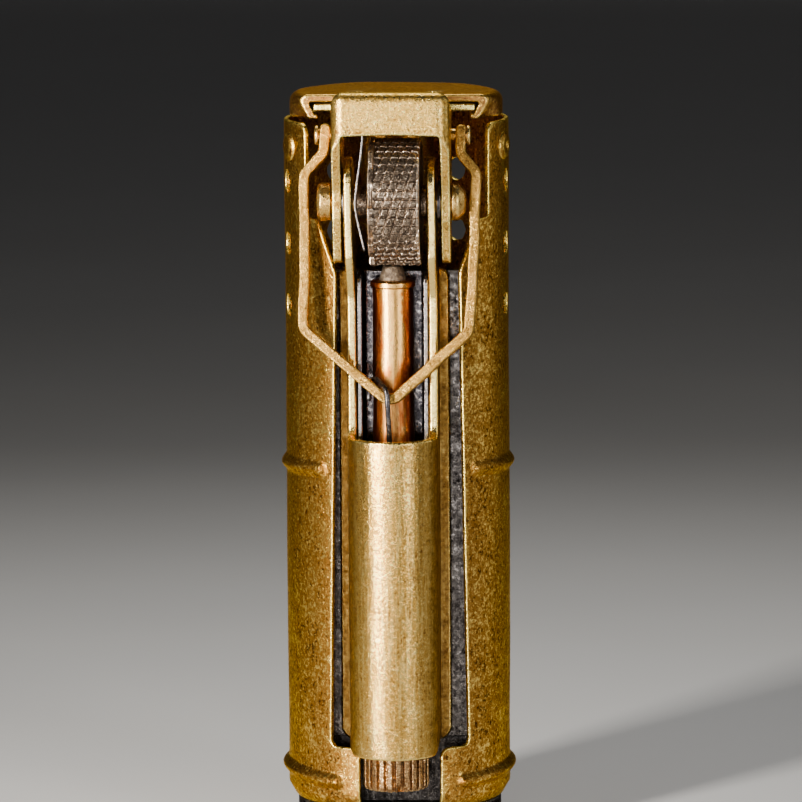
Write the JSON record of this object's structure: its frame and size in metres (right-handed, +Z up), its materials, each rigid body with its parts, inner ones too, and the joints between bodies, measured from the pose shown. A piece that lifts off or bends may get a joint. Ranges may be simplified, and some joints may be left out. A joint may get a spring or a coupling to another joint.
{
  "type": "petrol lighter",
  "caption": "Trench-style brass petrol lighter: a thumb lever swings the lid open on a spring-loaded bail and spins a knurled flint wheel, over a slide-out fuel tank.",
  "frame": {"origin": "centre of the tank base's underside, on the axis of the round case", "axes": "+Z up along the case axis; -Y is the thumb lever and flint wheel side; +X to the right seen from that side"},
  "size_m": [0.0204, 0.0241, 0.0658],
  "materials": {
    "case_brass": "aged rolled brass with a mottled warm patina",
    "housing_brass": "worn satin brass with vertical scratches",
    "lever_brass": "granular worn brass, bright on its bends",
    "bail_brass": "pale worn brass strip",
    "lid_brass": "dark oxidised brass",
    "rivet_brass": "turned brass",
    "red_copper": "heat-stained copper alloy tube",
    "knurled_brass": "pinkish worn knurled brass",
    "wheel_steel": "hardened steel, knurled",
    "dark_steel": "blued spring steel",
    "nickel": "dull nickel plating",
    "flint_alloy": "sintered ferrocerium",
    "felt": "pressed felt",
    "cotton": "cotton",
    "gasket_rubber": "soft rubber"
  },
  "bodies": {
    "case": {"outer_case": "case_brass", "case_studs": "case_brass", "partition_plate": "nickel", "flint_housing": "housing_brass", "steel_liner": "dark_steel", "flint_tube": "red_copper", "flint": "flint_alloy", "flint_plunger": "rivet_brass", "flint_spring": "dark_steel", "spring_seat": "rivet_brass", "main_spring": "dark_steel", "wheel_axle": "rivet_brass", "axle_washers": "dark_steel"},
    "lever": {"thumb_lever": "lever_brass", "bail_pins": "rivet_brass", "lid_cap": "lid_brass", "lid_liner": "lever_brass", "lid_rivets": "rivet_brass", "snuffer_cup": "case_brass", "snuffer_pad": "felt", "pawl_spring": "dark_steel"},
    "wheel": {"flint_wheel": "wheel_steel"},
    "bail": {"bail": "bail_brass"},
    "hook": {"spring_hook": "dark_steel"},
    "screw": {"flint_screw": "knurled_brass"},
    "tank": {"tank_shell": "nickel", "tank_top": "nickel", "tank_base": "nickel", "wick_tube": "nickel", "wick": "cotton", "cotton_wadding": "cotton", "filler_gasket": "gasket_rubber"},
    "filler": {"filler_screw": "rivet_brass"}
  },
  "joints": [
    {"name": "lever_pivot", "type": "hinge", "parent": "case", "child": "lever", "pos_m": [0, -0.0084, 0.05625], "axis": [1, 0, 0], "range_deg": [0, 75], "stiffness_Nm_per_rad": 0.004, "springref_deg": -28.65, "deforming": ["main_spring"]},
    {"name": "wheel_spin", "type": "hinge", "parent": "case", "child": "wheel", "pos_m": [0, -0.0084, 0.05625], "axis": [1, 0, 0], "range_deg": [0, 76]},
    {"name": "bail_swing", "type": "hinge", "parent": "lever", "child": "bail", "pos_m": [0, -0.0066, 0.06175], "axis": [1, 0, 0], "range_deg": [-57.5, 0]},
    {"name": "hook_swing", "type": "hinge", "parent": "bail", "child": "hook", "pos_m": [0, -0.0108, 0.0392], "axis": [1, 0, 0], "range_deg": [-18.5, 0]},
    {"name": "screw_turn", "type": "hinge", "parent": "case", "child": "screw", "pos_m": [0, -0.0076, 0.0053], "axis": [0, 0, 1], "continuous": true},
    {"name": "tank_slide", "type": "slide", "parent": "case", "child": "tank", "axis": [0, 0, -1], "range_m": [0, 0.05]},
    {"name": "filler_turn", "type": "hinge", "parent": "tank", "child": "filler", "pos_m": [0, 0, 0.001], "axis": [0, 0, 1], "continuous": true}
  ],
  "couplings": [
    {"joint": "wheel_spin", "follows": "lever_pivot", "ratio": 1},
    {"joint": "bail_swing", "follows": "lever_pivot", "ratio": -0.7576},
    {"joint": "hook_swing", "follows": "lever_pivot", "ratio": -0.2424}
  ]
}
